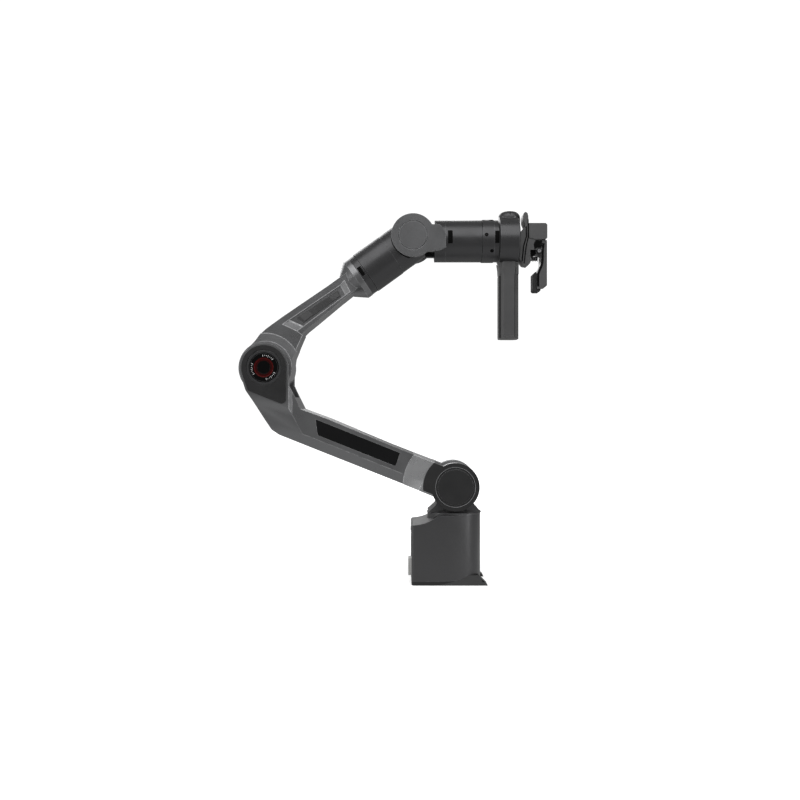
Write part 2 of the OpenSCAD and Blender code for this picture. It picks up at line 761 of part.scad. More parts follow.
// The trigger: a bar with a hinge boss, a cross piece at its foot and an upright that faces the grip
module trigger_lever() color(darker) in_tool() difference() {
    union() {
        slab(-trigger_half_w, trigger_half_w) polygon([
            [164.4, 0], [170.4, 0], [170.8, -1.4], [170.8, -58.5], [168.5, -60.5], [163.8, -60.5],
            [163, -63], [157.6, -63], [157.6, -44], [159, -39.5], [162, -33], [spring_seat_w, -28],
            [spring_seat_w, -18.9], [164.4, -17.5]
        ]);
        slab(-trigger_half_w, trigger_half_w) {
            translate(lever_pin) circle(r = 4.2, $fn = small_fn);
            translate([lever_pin[0], lever_pin[1] - 4.2]) square([6, 8.4]);
        }
    }
    disc_y(pin_r + 0.04, -60, 60, lever_pin);
}

// Points and rings of a wire wound along +X
function coil_point(a) = [a / 360 / spring_turns * spring_len, spring_r * cos(a), spring_r * sin(a)];
function coil_ring(a, sides) = let (p = coil_point(a), out = [0, cos(a), sin(a)])
    [for (k = [0 : sides - 1]) p + wire_r * (cos(k * 360 / sides) * out + sin(k * 360 / sides) * [1, 0, 0])];

module trigger_spring() color(steel) in_tool() translate([spring_w + wire_r + 0.05, 0, spring_z]) {
    sides = 8;
    steps = spring_turns * 16;
    rings = [for (i = [0 : steps]) each coil_ring(i * 360 * spring_turns / steps, sides)];
    walls = [for (i = [0 : steps - 1], k = [0 : sides - 1])
        [i * sides + k, i * sides + (k + 1) % sides, (i + 1) * sides + (k + 1) % sides, (i + 1) * sides + k]];
    first = [for (k = [sides - 1 : -1 : 0]) k];
    last = [for (k = [0 : sides - 1]) steps * sides + k];
    polyhedron(rings, concat(walls, [first, last]));
}

// Finger pad, wrapped under the foot of the trigger
module trigger_pad() color(dark) in_tool() slab(-trigger_half_w + 1, trigger_half_w - 1) polygon([
    [152.6, -44], [155.6, -41], [157.5, -41], [157.5, -63.1], [163, -63.1], [162.2, -65.6],
    [160.8, -66.4], [154.4, -66.4], [152.6, -64.8]
]);

module teach_button() color(metal) in_tool() translate([dome_w, 0, 32])
    cylinder(r = button_r, h = button_top - 32, $fn = round_fn);

base_housing();
base_plate();
rear_panel();
power_socket();
data_socket();
base_screws();
base_motor();
base_bearing();
controller_board();
turret_skirt();
turret_hub();
shoulder_drum();
shoulder_motor();
shoulder_bracket();
upper_arm_frame();
upper_arm_shell();
shoulder_cover_left();
shoulder_cover_right();
shoulder_cap_left();
shoulder_cap_right();
elbow_cover_left();
elbow_cover_right();
elbow_ring_left();
elbow_ring_right();
elbow_lens_left();
elbow_lens_right();
side_panel_left();
side_panel_right();
elbow_shaft();
driver_board();
elbow_hub();
elbow_motor();
forearm_shell();
forearm_panel_left();
forearm_panel_right();
forearm_ring();
roll_bearing();
roll_housing();
roll_motor();
wrist_yoke();
wrist_motor();
wrist_fork();
wrist_cover_left();
wrist_cover_right();
wrist_housing();
tool_motor();
tool_flange();
flange_screws();
handle_collar();
grip_left();
grip_right();
grip_cap();
trigger_housing();
trigger_block();
encoder_board();
trigger_pin();
trigger_lever();
trigger_pad();
trigger_spring();
teach_button();
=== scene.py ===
"""Looks for the desktop robot arm: finishes, fine details, floor, lights and camera."""
import json
import math

import bmesh
import bpy
from mathutils import Matrix, Vector


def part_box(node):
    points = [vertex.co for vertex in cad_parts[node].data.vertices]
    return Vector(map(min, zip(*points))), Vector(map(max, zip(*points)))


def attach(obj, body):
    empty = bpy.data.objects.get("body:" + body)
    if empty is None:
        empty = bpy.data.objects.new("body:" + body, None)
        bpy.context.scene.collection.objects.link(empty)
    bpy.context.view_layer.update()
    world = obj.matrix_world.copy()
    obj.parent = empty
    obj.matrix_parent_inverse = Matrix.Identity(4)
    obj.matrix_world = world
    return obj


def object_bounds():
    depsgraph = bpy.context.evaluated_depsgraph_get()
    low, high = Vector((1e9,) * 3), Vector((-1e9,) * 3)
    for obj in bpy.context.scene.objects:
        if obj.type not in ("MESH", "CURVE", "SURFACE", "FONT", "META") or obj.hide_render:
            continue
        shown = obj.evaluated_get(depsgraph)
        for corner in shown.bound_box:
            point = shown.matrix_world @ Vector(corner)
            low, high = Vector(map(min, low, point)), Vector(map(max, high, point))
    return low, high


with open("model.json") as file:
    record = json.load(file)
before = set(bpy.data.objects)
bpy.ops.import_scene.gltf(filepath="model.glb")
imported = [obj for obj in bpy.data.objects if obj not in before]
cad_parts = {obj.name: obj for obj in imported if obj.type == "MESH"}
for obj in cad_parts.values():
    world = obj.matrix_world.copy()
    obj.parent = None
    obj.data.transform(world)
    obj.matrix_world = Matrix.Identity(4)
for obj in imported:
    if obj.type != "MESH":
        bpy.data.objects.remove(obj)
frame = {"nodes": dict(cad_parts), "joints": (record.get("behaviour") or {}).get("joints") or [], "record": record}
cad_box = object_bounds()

MM = 0.001
SIDES = {"left": 1, "right": -1}
nodes = frame["nodes"]
joints = {j["name"]: j for j in frame["joints"]}


# ---- Places, all worked out from the frame ----

def joint_place(name):
    return Vector(joints[name]["pos_m"])


def frame_matrix(origin, along, away):
    """Turns millimetres along, across (Y) and away from an origin into the shared frame's metres."""
    columns = (along, Vector((0, 1, 0)), away, origin)
    rotation = Matrix([[c[i] for c in columns] for i in range(3)] + [[0, 0, 0, 1]])
    return rotation @ Matrix.Diagonal((MM, MM, MM, 1))


shoulder = joint_place("shoulder_pitch")
elbow = joint_place("elbow_pitch")
tool_reach = 86.7 * MM                # from the tool frame's origin to the tool_roll joint
tool_origin = joint_place("tool_roll") - Vector((tool_reach, 0, 0))
roll_axis = Vector(joints["forearm_roll"]["axis"])
beam_tilt = math.radians(21.7)      # slope of the upper arm's straight beam
beam_along = Vector((-math.cos(beam_tilt), 0, math.sin(beam_tilt)))
beam_away = Vector((math.sin(beam_tilt), 0, math.cos(beam_tilt)))
fore_away = Vector((-roll_axis.z, 0, roll_axis.x))

UPPER = frame_matrix(shoulder, beam_along, beam_away)
AT_ELBOW = frame_matrix(elbow, beam_along, beam_away)
FORE = frame_matrix(elbow, roll_axis, fore_away)
TOOL = frame_matrix(tool_origin, Vector((1, 0, 0)), Vector((0, 0, 1)))
BASE = frame_matrix(Vector((0, 0, 0)), Vector((1, 0, 0)), Vector((0, 0, 1)))


def half_width(node):
    """Distance of a node's outer side from the arm's middle plane, in millimetres."""
    low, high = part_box(node)
    return max(abs(low.y), abs(high.y)) / MM


def centre(node):
    """Middle of a node's box, in millimetres."""
    low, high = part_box(node)
    return (low + high) / (2 * MM)


# ---- Materials ----

class Shader:
    """A Principled material and the few node chains that every finish here shares."""

    def __init__(self, name, colour, metallic=0.0, roughness=0.5, specular=0.5):
        self.material = bpy.data.materials.new(name)
        self.material.use_nodes = True
        self.tree = self.material.node_tree
        self.bsdf = self.tree.nodes["Principled BSDF"]
        self.colour = colour
        self.set("Base Color", (*colour, 1))
        self.set("Metallic", metallic)
        self.set("Roughness", roughness)
        self.set("Specular IOR Level", specular)
        self.place = self.node("ShaderNodeTexCoord").outputs["Object"]
        self.bump = None

    def set(self, socket, value):
        self.bsdf.inputs[socket].default_value = value

    def node(self, kind, **inputs):
        made = self.tree.nodes.new(kind)
        for name, value in inputs.items():
            made.inputs[name.replace("_", " ")].default_value = value
        return made

    def link(self, output, socket):
        self.tree.links.new(output, socket)

    def noise(self, scale, detail=3.0, stretch=(1, 1, 1)):
        """Noise in the object's own space, with its scale per metre."""
        mapping = self.node("ShaderNodeMapping", Scale=stretch)
        self.link(self.place, mapping.inputs["Vector"])
        made = self.node("ShaderNodeTexNoise", Scale=scale, Detail=detail)
        self.link(mapping.outputs["Vector"], made.inputs["Vector"])
        return made.outputs["Fac"]

    def spread(self, value, low, high, start=0.3, end=0.7):
        made = self.node("ShaderNodeMapRange", From_Min=start, From_Max=end, To_Min=low, To_Max=high)
        self.link(value, made.inputs["Value"])
        return made.outputs["Result"]

    def mixed(self, fac, a, b):
        """Colour a where fac is 0 and b where it is 1. Either may be a colour or another node's output."""
        made = self.tree.nodes.new("ShaderNodeMix")
        made.data_type = "RGBA"
        self.link(fac, made.inputs["Factor"])
        for key, value in (("A", a), ("B", b)):
            sockets = [s for s in made.inputs if s.name == key and s.type == "RGBA"]
            if isinstance(value, tuple):
                sockets[0].default_value = (*value, 1)
            else:
                self.link(value, sockets[0])
        return [s for s in made.outputs if s.type == "RGBA"][0]

    # Edge mask: the edges it lightens show rubbing and a painted highlight.
    def wear_and_painted_highlight_edges(self, radius, low=0.004, high=0.05):
        """1 along outer edges, broken up by noise, and 0 elsewhere."""
        bevel = self.node("ShaderNodeBevel", Radius=radius)
        plain = self.node("ShaderNodeNewGeometry")
        dot = self.tree.nodes.new("ShaderNodeVectorMath")
        dot.operation = "DOT_PRODUCT"
        self.link(bevel.outputs["Normal"], dot.inputs[0])
        self.link(plain.outputs["Normal"], dot.inputs[1])
        edge = self.node("ShaderNodeMapRange", From_Min=1 - low, From_Max=1 - high, To_Min=0.0, To_Max=1.0)
        self.link(dot.outputs["Value"], edge.inputs["Value"])
        patch = self.spread(self.noise(140, 4), 0.15, 1.0, 0.35, 0.62)
        times = self.tree.nodes.new("ShaderNodeMath")
        times.operation = "MULTIPLY"
        self.link(edge.outputs["Result"], times.inputs[0])
        self.link(patch, times.inputs[1])
        return times.outputs["Value"]

    def add_bump(self, height, strength, distance):
        made = self.node("ShaderNodeBump", Strength=strength, Distance=distance)
        self.link(height, made.inputs["Height"])
        if self.bump is not None:
            self.link(self.bump, made.inputs["Normal"])
        self.bump = made.outputs["Normal"]
        self.link(self.bump, self.bsdf.inputs["Normal"])


def scaled(colour, k):
    return tuple(min(1.0, c * k) for c in colour)


def satin_metal(name, colour, roughness, metallic=0.9, edge_wear_and_highlight=1.6, grain=0.25):
    """Bead-blasted and anodised aluminium: fine grain, slow tone changes, and edges lightened partly by rubbing
    and partly as a painted highlight.
    """
    s = Shader(name, colour, metallic, roughness)
    tone = s.mixed(s.spread(s.noise(14, 4), 0, 1), scaled(colour, 0.9), scaled(colour, 1.1))
    speck = s.mixed(s.spread(s.noise(2600, 2), 0, 1, 0.4, 0.6), tone, scaled(colour, 1.16))
    # Edges lightened by the edge factor: partly rubbing, partly a painted highlight.
    s.link(s.mixed(s.wear_and_painted_highlight_edges(0.0011), speck, scaled(colour, edge_wear_and_highlight)), s.bsdf.inputs["Base Color"])
    s.link(s.spread(s.noise(38, 5), roughness - 0.05, roughness + 0.07), s.bsdf.inputs["Roughness"])
    s.add_bump(s.noise(3200, 2), grain, 0.00006)
    return s.material


def moulded_plastic(name, colour, roughness, edge_wear_and_highlight=1.5, grain=0.35):
    """Spark-eroded plastic: pebbled grain, faint handling marks, and edges lightened partly by polishing and
    partly as a painted highlight.
    """
    s = Shader(name, colour, 0.0, roughness)
    tone = s.mixed(s.spread(s.noise(22, 4), 0, 1), scaled(colour, 0.88), scaled(colour, 1.12))
    # Edges lightened by the edge factor: partly polishing, partly a painted highlight.
    s.link(s.mixed(s.wear_and_painted_highlight_edges(0.0008), tone, scaled(colour, edge_wear_and_highlight)), s.bsdf.inputs["Base Color"])
    s.link(s.spread(s.noise(55, 5), roughness - 0.06, roughness + 0.08), s.bsdf.inputs["Roughness"])
    s.add_bump(s.noise(1900, 3), grain, 0.00009)
    return s.material


def gloss_plastic(name, colour):
    """Polished plastic under a clear coat, with faint wiping marks."""
    s = Shader(name, colour, 0.0, 0.16, 0.2)
    s.set("Coat Weight", 0.15)
    s.set("Coat Roughness", 0.06)
    s.link(s.mixed(s.spread(s.noise(30, 4), 0, 1), scaled(colour, 0.8), scaled(colour, 1.3)),
           s.bsdf.inputs["Base Color"])
    s.link(s.spread(s.noise(260, 5, (1, 1, 0.2)), 0.12, 0.24), s.bsdf.inputs["Roughness"])
    s.add_bump(s.noise(420, 2), 0.05, 0.00005)
    return s.material


def turned_steel(name, colour, roughness, stretch=(1, 0.05, 1)):
    """Bright steel with fine tool marks drawn out along one direction."""
    s = Shader(name, colour, 1.0, roughness)
    marks = s.noise(2200, 4, stretch)
    s.link(s.mixed(s.spread(marks, 0, 1), scaled(colour, 0.8), scaled(colour, 1.15)),
           s.bsdf.inputs["Base Color"])
    s.link(s.spread(s.noise(60, 4), roughness - 0.06, roughness + 0.08), s.bsdf.inputs["Roughness"])
    s.add_bump(marks, 0.2, 0.00004)
    return s.material


def rubber(name, colour, specular=0.35):
    s = Shader(name, colour, 0.0, 0.72, specular)
    s.link(s.mixed(s.spread(s.noise(60, 4), 0, 1), scaled(colour, 0.8), scaled(colour, 1.3)),
           s.bsdf.inputs["Base Color"])
    s.link(s.spread(s.noise(300, 4), 0.64, 0.8), s.bsdf.inputs["Roughness"])
    s.add_bump(s.noise(2400, 3), 0.5, 0.0001)
    return s.material


def circuit_board(name, colour):
    s = Shader(name, colour, 0.0, 0.35)
    cells = s.node("ShaderNodeTexVoronoi", Scale=420)
    s.link(s.place, cells.inputs["Vector"])
    track = s.spread(cells.outputs["Distance"], 0, 1, 0.32, 0.36)
    s.link(s.mixed(track, colour, scaled(colour, 2.2)), s.bsdf.inputs["Base Color"])
    s.link(s.spread(s.noise(90, 4), 0.28, 0.45), s.bsdf.inputs["Roughness"])
    s.add_bump(track, 0.4, 0.0001)
    return s.material


def dial_glass(name):
    """Black glass with a dark red ring about the elbow axis."""
    black, red = (0.0012, 0.0012, 0.0013), (0.10, 0.004, 0.004)
    s = Shader(name, black, 0.0, 0.12, 0.1)
    s.set("Coat Weight", 0.08)
    s.set("Coat Roughness", 0.04)
    flat = s.node("ShaderNodeMapping", Location=(-elbow.x, 0, -elbow.z), Scale=(1, 0, 1))
    s.link(s.place, flat.inputs["Vector"])
    length = s.tree.nodes.new("ShaderNodeVectorMath")
    length.operation = "LENGTH"
    s.link(flat.outputs["Vector"], length.inputs[0])
    ramp = s.node("ShaderNodeValToRGB")
    s.link(s.spread(length.outputs["Value"], 0, 1, 0.0, 0.020), ramp.inputs["Fac"])
    stops = ((0.0, black), (0.41, black), (0.44, scaled(red, 0.35)), (0.52, scaled(red, 0.25)),
             (0.57, red), (0.61, scaled(red, 0.9)), (0.63, black), (1.0, black))
    for i, (at, colour) in enumerate(stops):
        stop = ramp.color_ramp.elements[i] if i < 2 else ramp.color_ramp.elements.new(at)
        stop.position = at
        stop.color = (*colour, 1)
    s.link(s.mixed(s.spread(s.noise(900, 3), 0, 0.35), ramp.outputs["Color"], scaled(black, 1.5)),
           s.bsdf.inputs["Base Color"])
    s.link(s.spread(s.noise(350, 4), 0.08, 0.2), s.bsdf.inputs["Roughness"])
    return s.material


def paint(name, colour, roughness=0.45):
    """Thin printed paint: slightly uneven and a little rough."""
    s = Shader(name, colour, 0.0, roughness)
    s.link(s.mixed(s.spread(s.noise(700, 3), 0, 1), scaled(colour, 0.82), scaled(colour, 1.08)),
           s.bsdf.inputs["Base Color"])
    s.link(s.spread(s.noise(500, 3), roughness - 0.06, roughness + 0.1), s.bsdf.inputs["Roughness"])
    return s.material


# Edge factors above 1 lighten the edges, partly as rubbing and partly as a painted highlight.
FINISHES = {
    "arm_metal": satin_metal("arm_metal_satin", (0.19, 0.191, 0.195), 0.31, edge_wear_and_highlight=2.6),
    "light_metal": satin_metal("light_metal_satin", (0.46, 0.463, 0.47), 0.27, edge_wear_and_highlight=1.5),
    "dark_metal": satin_metal("dark_metal_satin", (0.060, 0.060, 0.062), 0.31, metallic=0.7, edge_wear_and_highlight=2.6),
    "black_plastic": moulded_plastic("black_plastic_moulded", (0.020, 0.020, 0.021), 0.42),
    "pad_rubber": rubber("pad_rubber_matt", (0.016, 0.016, 0.016)),
    "panel_gloss": gloss_plastic("panel_gloss_black", (0.004, 0.004, 0.0045)),
    "dial_red": dial_glass("dial_glass"),
    "button_grey": moulded_plastic("button_grey_moulded", (0.075, 0.075, 0.078), 0.42),
    "bare_steel": turned_steel("bare_steel_turned", (0.42, 0.42, 0.43), 0.32),
    "socket_plastic": moulded_plastic("socket_plastic_pale", (0.6, 0.6, 0.58), 0.4, edge_wear_and_highlight=1.1),
    "board": circuit_board("board_green", (0.015, 0.09, 0.04)),
}
WHITE_PRINT = paint("white_print", (0.78, 0.78, 0.78))
# Grey paint for the shoulder ring lines: a painted highlight on the steps.
PAINTED_RING_HIGHLIGHT = paint("painted_ring_highlight", (0.30, 0.30, 0.31), 0.4)
# Near-black rubber: the real black of the sensor windows, and painted shade in gaps, joints, hollows, slots, seats
# and screw holes.
PAINTED_SHADE_AND_BLACK = rubber("painted_shade_and_black", (0.003, 0.003, 0.003), 0.06)
DARK_STEEL = turned_steel("dark_steel_turned", (0.12, 0.12, 0.125), 0.34)
# Light grey paint for the forearm's rim lines: a painted highlight along edges.
PAINTED_RIM_HIGHLIGHT = paint("painted_rim_highlight", (0.50, 0.50, 0.51), 0.35)
BASE_METAL = satin_metal("base_metal_satin", (0.078, 0.078, 0.080), 0.34, metallic=0.7, edge_wear_and_highlight=2.2)
COVER_BLACK = moulded_plastic("cover_black_moulded", (0.012, 0.012, 0.0125), 0.4)
# Darker copy of the arm metal for the wrist covers: painted shade.
WRIST_METAL_PAINTED_SHADE = satin_metal("wrist_metal_painted_shade", (0.130, 0.131, 0.134), 0.36, edge_wear_and_highlight=2.2)
# Lighter copy of the arm metal for the elbow hub: a painted highlight.
HUB_METAL_PAINTED_HIGHLIGHT = satin_metal("hub_metal_painted_highlight", (0.26, 0.261, 0.266), 0.31, edge_wear_and_highlight=2.2)
INLAY_PLASTIC = moulded_plastic("inlay_plastic_moulded", (0.042, 0.042, 0.043), 0.4)
HANDLE_PLASTIC = moulded_plastic("handle_plastic_moulded", (0.068, 0.068, 0.069), 0.36)


# ---- CAD nodes: finish, rounded edges and smooth shading, all without touching a mesh ----

SHARP_ANGLE = math.radians(30)


def shading_group():
    """Geometry nodes that join split corners and shade smooth below the sharp angle."""
    group = bpy.data.node_groups.new("join_and_shade", "GeometryNodeTree")
    group.interface.new_socket("Geometry", in_out="INPUT", socket_type="NodeSocketGeometry")
    group.interface.new_socket("Geometry", in_out="OUTPUT", socket_type="NodeSocketGeometry")
    made = group.nodes.new
    start, end = made("NodeGroupInput"), made("NodeGroupOutput")
    drop = made("GeometryNodeRemoveAttribute")
    drop.inputs["Name"].default_value = "custom_normal"
    merge = made("GeometryNodeMergeByDistance")
    merge.inputs["Distance"].default_value = 2e-6
    faces = made("GeometryNodeSetShadeSmooth")
    edges = made("GeometryNodeSetShadeSmooth")
    edges.domain = "EDGE"
    angle = made("GeometryNodeInputMeshEdgeAngle")
    smooth = made("FunctionNodeCompare")
    smooth.data_type = "FLOAT"
    smooth.operation = "LESS_THAN"
    smooth.inputs[1].default_value = SHARP_ANGLE
    link = group.links.new
    link(start.outputs[0], drop.inputs["Geometry"])
    link(drop.outputs["Geometry"], merge.inputs["Geometry"])
    link(merge.outputs["Geometry"], faces.inputs["Geometry"])
    link(faces.outputs["Geometry"], edges.inputs["Geometry"])
    link(angle.outputs["Unsigned Angle"], smooth.inputs[0])
    link(smooth.outputs["Result"], edges.inputs["Shade Smooth"])
    link(edges.outputs["Geometry"], end.inputs[0])
    return group


JOIN_AND_SHADE = shading_group()


def round_edges(obj, width):
    """Joins and shades a mesh and, where a width is given, puts small real radii on its sharp edges."""
    joined = obj.modifiers.new("join", "NODES")
    joined.node_group = JOIN_AND_SHADE
    if width <= 0:
        return
    flat = obj.modifiers.new("flats", "DECIMATE")
    flat.decimate_type = "DISSOLVE"
    flat.angle_limit = math.radians(0.6)
    bevel = obj.modifiers.new("radius", "BEVEL")
    bevel.width = width * MM
    bevel.segments = 2
    bevel.limit_method = "ANGLE"
    bevel.angle_limit = SHARP_ANGLE
    bevel.harden_normals = True


USUAL_EDGE = 0.5
EDGE_WIDTH = {
    "trigger_spring": 0, "flange_screws": 0.1, "base_screws": 0.15, "side_panel_left": 0.15,
    "side_panel_right": 0.15, "forearm_panel_left": 0.2, "forearm_panel_right": 0.2, "trigger_pin": 0.25,
    "elbow_hub": 0.9, "shoulder_bracket": 1.0, "upper_arm_frame": 1.2, "upper_arm_shell": 1.2,
    "base_housing": 1.2, "forearm_shell": 1.2,
}
NODE_FINISH = {
    "trigger_pin": DARK_STEEL, "elbow_hub": HUB_METAL_PAINTED_HIGHLIGHT, "grip_cap": HANDLE_PLASTIC,
    "trigger_housing": HANDLE_PLASTIC, "trigger_block": HANDLE_PLASTIC, "trigger_lever": HANDLE_PLASTIC,
    "base_plate": COVER_BLACK, "base_housing": BASE_METAL, "turret_skirt": BASE_METAL,
}
for end in SIDES:
    NODE_FINISH["grip_" + end] = HANDLE_PLASTIC
    NODE_FINISH["forearm_panel_" + end] = INLAY_PLASTIC
    NODE_FINISH["wrist_cover_" + end] = WRIST_METAL_PAINTED_SHADE
    NODE_FINISH["elbow_ring_" + end] = FINISHES["dark_metal"]
    for cover in ("shoulder_cover_", "shoulder_cap_", "elbow_cover_"):
        NODE_FINISH[cover + end] = COVER_BLACK


def dress_cad_nodes():
    """Gives each node its finish and its edge radius."""
    for part in frame["record"]["subparts"]:
        obj = nodes[part["node"]]
        obj.material_slots[0].material = NODE_FINISH.get(part["node"], FINISHES[part["material_slot"]])
        round_edges(obj, EDGE_WIDTH.get(part["node"], USUAL_EDGE))


# ---- Mesh tools for the detail pieces ----

def add_ring(bm, matrix, inner, outer, y0, y1, centre=(0, 0), steps=96):
    """A flat ring about Y, from y0 to y1."""
    loops = []
    for radius, y in ((inner, y0), (outer, y0), (outer, y1), (inner, y1)):
        loops.append([bm.verts.new(matrix @ Vector((
            centre[0] + radius * math.cos(math.tau * i / steps), y,
            centre[1] + radius * math.sin(math.tau * i / steps)))) for i in range(steps)])
    for a, b in zip(loops, loops[1:] + loops[:1]):
        for i in range(steps):
            k = (i + 1) % steps
            bm.faces.new((a[i], a[k], b[k], b[i]))


def add_loft(bm, matrix, loops):
    """A closed solid through loops of points, each point given as along, across and away."""
    rings = [[bm.verts.new(matrix @ Vector(p)) for p in loop] for loop in loops]
    count = len(rings[0])
    for a, b in zip(rings, rings[1:]):
        for i in range(count):
            k = (i + 1) % count
            bm.faces.new((a[i], a[k], b[k], b[i]))
    bm.faces.new(rings[0])
    bm.faces.new(list(reversed(rings[-1])))


def add_prism(bm, matrix, outline, y0, y1):
    """A flat outline of points along and away, given a thickness in Y."""
    add_loft(bm, matrix, [[(p[0], y, p[1]) for p in outline] for y in (y0, y1)])


def add_strip(bm, matrix, line, width, y0, y1, closed=False):
    """A band of even width along a line of points, with mitred corners."""
    points = [Vector(p) for p in line]
    count = len(points)
    sides = []
    for i, p in enumerate(points):
        before = points[i - 1] if closed or i else None
        after = points[(i + 1) % count] if closed or i < count - 1 else None
        ways = [(b - a).normalized() for a, b in ((before, p), (p, after)) if a is not None and b is not None]
        normals = [Vector((-d.y, d.x)) for d in ways]
        middle = sum(normals, Vector((0, 0))).normalized()
        reach = width / 2 / max(0.4, middle.dot(normals[0]))
        sides.append((p + middle * reach, p - middle * reach))
    pairs = list(zip(sides, sides[1:] + (sides[:1] if closed else [])))
    for (a, b), (c, d) in pairs:
        add_prism(bm, matrix, [a, b, d, c], y0, y1)


def circle_points(radius, centre=(0, 0), steps=48, start=0.0, end=math.tau):
    closed = abs(end - start - math.tau) < 1e-6
    count = steps if closed else steps + 1
    return [(centre[0] + radius * math.cos(start + (end - start) * i / steps),
             centre[1] + radius * math.sin(start + (end - start) * i / steps)) for i in range(count)]


def piece(name, bm, body, material, width=0.0):
    """Turns a bmesh into a piece that rides on a body, flat-shaded unless its edges get a radius."""
    bmesh.ops.recalc_face_normals(bm, faces=bm.faces)
    mesh = bpy.data.meshes.new(name)
    bm.to_mesh(mesh)
    bm.free()
    mesh.materials.append(material)
    obj = bpy.data.objects.new(name, mesh)
    bpy.context.scene.collection.objects.link(obj)
    if width > 0:
        round_edges(obj, width)
    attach(obj, body)
    return obj


def layer(side, face, below, above):
    """Lower and higher Y of a thin layer on one side, from below a face to above it."""
    return sorted((side * (face - below), side * (face + above)))


# ---- Upper arm details ----

def elbow_dials():
    """On each elbow window: printed marks in three groups, and a fine ring round them."""
    face = half_width("elbow_lens_left")
    long_mark, short_mark, mark_width = (13.9, 16.3), (14.5, 15.8), 0.55
    for name, side in SIDES.items():
        marks = bmesh.new()
        sheet = layer(side, face, 0.02, 0.06)
        for group in range(3):
            middle = math.radians(90 + 120 * group)
            for i in range(-3, 4):
                angle = middle + math.radians(8.5) * i
                low, high = long_mark if i % 3 == 0 else short_mark
                along = Vector((math.cos(angle), math.sin(angle)))
                add_strip(marks, AT_ELBOW, [along * low, along * high], mark_width, *sheet)
        piece("dial_marks_" + name, marks, "upper_arm", WHITE_PRINT)
        ring = bmesh.new()
        add_ring(ring, AT_ELBOW, 17.5, 17.8, *layer(side, face, 0.02, 0.05))
        piece("dial_rings_" + name, ring, "upper_arm", DARK_STEEL)


def shoulder_rings():
    """Two painted highlight lines at each shoulder: one on the cover's rim and one on the sunk cap."""
    rim = half_width("shoulder_cover_left")
    for name, side in SIDES.items():
        rings = bmesh.new()
        add_ring(rings, UPPER, 24.9, 25.3, *layer(side, rim, 0.3, 0.12))
        add_ring(rings, UPPER, 22.2, 22.5, *layer(side, rim, 0.7, -0.42))
        piece("shoulder_rings_" + name, rings, "upper_arm", PAINTED_RING_HIGHLIGHT)


def panel_surrounds():
    """Shadow gap round each dark side panel."""
    face = half_width("side_panel_left")
    corners = [(80, -3.6), (186, -3.6), (196, 14), (81, 14)]
    for name, side in SIDES.items():
        gap = bmesh.new()
        add_strip(gap, UPPER, corners, 0.7, *layer(side, face, 0.1, 0.1), closed=True)
        piece("panel_gap_" + name, gap, "upper_arm", PAINTED_SHADE_AND_BLACK)


# ---- Forearm details ----

CHANNEL = [(50, 32.6), (140, 30.1), (147, 32.3), (144.5, 16.1), (60, 14.7)]
FLANK = half_width("elbow_hub") - 3.2     # the beam's flanks lie this far inside the hub's


def forearm_lines():
    """Painted highlight lines round the forearm's channels, along the hub's edge and down the beam's root."""
    root = circle_points(44.5, steps=40, start=math.radians(-8), end=math.radians(64))
    lower_root = [CHANNEL[-1], (62.5, 6.5), (45.3, -3.5)]
    for name, side in SIDES.items():
        rims = bmesh.new()
        sheet = layer(side, FLANK, 0.3, 0.06)
        add_strip(rims, FORE, CHANNEL, 0.55, *sheet, closed=True)
        add_strip(rims, FORE, root, 0.5, *sheet)
        add_strip(rims, FORE, lower_root, 0.5, *sheet)
        piece("forearm_rims_" + name, rims, "forearm", PAINTED_RIM_HIGHLIGHT)


def channel_ramps():
    """Slanted facets that lead from the forearm's flank down into each end of its channel."""
    # The wrist-end facet takes the light metal finish: a painted highlight on the forearm's own metal.
    facets = (("elbow", "arm_metal", ((50.2, 32.5), (60, 14.8)), ((60.7, 32.2), (70.5, 14.9))),
              ("wrist", "light_metal", ((146.7, 32.1), (144.5, 16.2)), ((138.6, 30.1), (136.7, 16.0))))
    rim_depth, foot_depth, back_depth = 0.05, 1.46, 1.6
    for name, side in SIDES.items():
        for near, finish, rim, foot in facets:
            corners = ((rim, rim_depth), (foot, foot_depth), (rim, back_depth))
            loops = [[(line[end][0], side * (FLANK - depth), line[end][1]) for line, depth in corners]
                     for end in (0, 1)]
            ramp = bmesh.new()
            add_loft(ramp, FORE, loops)
            piece("channel_ramp_%s_%s" % (near, name), ramp, "forearm", FINISHES[finish])


def ring_slot():
    """Dark block in the slot of the forearm's end ring, on the right side only: painted shade in the slot."""
    floor = half_width("forearm_ring") - 2.2
    outline = [(168.4, 21.7), (172.8, 21.7), (172.8, 34.3), (168.4, 34.3)]
    slot_shade = bmesh.new()
    add_prism(slot_shade, FORE, outline, *layer(-1, floor, 0.4, 0.9))
    piece("ring_slot_shade", slot_shade, "forearm", PAINTED_SHADE_AND_BLACK)


def inlay_pads():
    """Raised pads at both ends of each inlay panel."""
    face = half_width("forearm_panel_left")
    elbow_pad = [(73.5, 27.6), (87, 27.1), (88.5, 19.7), (75.5, 19.8)]
    wrist_pad = [(118.5, 25.9), (130.8, 25.4), (130.2, 19.5), (119.5, 19.6)]
    for name, side in SIDES.items():
        pads = bmesh.new()
        for outline in (elbow_pad, wrist_pad):
            add_prism(pads, FORE, outline, *layer(side, face, 0.1, 0.35))
        piece("inlay_pads_" + name, pads, "forearm", HANDLE_PLASTIC, 0.15)


# ---- Wrist and handle details, in the tool frame ----

FLANGE_START, FLANGE_R = 86.9, 27.8       # where the tool flange begins, and its radius
FLANGE_SCREWS = ((4.5, 82), (11.8, 23), (11.8, 125))     # along the flange, and degrees from straight up
SCREW_DEPTH = 1.0                         # of the screw heads below the flange
HINGE = (160.5, -14.5)                    # the trigger's hinge pin
SPRING_AWAY = -22.8                       # axis of the trigger's spring


